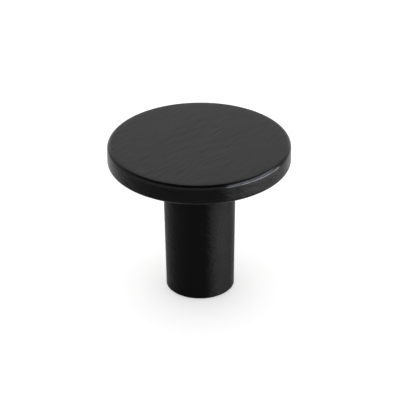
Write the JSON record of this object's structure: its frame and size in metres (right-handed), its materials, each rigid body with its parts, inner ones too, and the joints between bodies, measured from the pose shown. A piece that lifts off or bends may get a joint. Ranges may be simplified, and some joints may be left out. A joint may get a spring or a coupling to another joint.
{
  "type": "cabinet knob",
  "caption": "Round one-piece cabinet and drawer knob with a flat disc head on a slim tapered stem, screwed on from behind.",
  "frame": {"origin": "centre of the foot, on the plane of the drawer or door front that the knob is screwed to", "axes": "+Z along the knob's axis, away from the front and out to the head. The form is round, so X and Y only say which way the brush lines on the top face run."},
  "size_m": [0.032, 0.032, 0.028],
  "materials": {
    "black_brushed_metal": "satin black over fine brush lines: straight across the top face, round the rim and the stem"
  },
  "bodies": {
    "root": {"knob": "black_brushed_metal"}
  },
  "joints": []
}
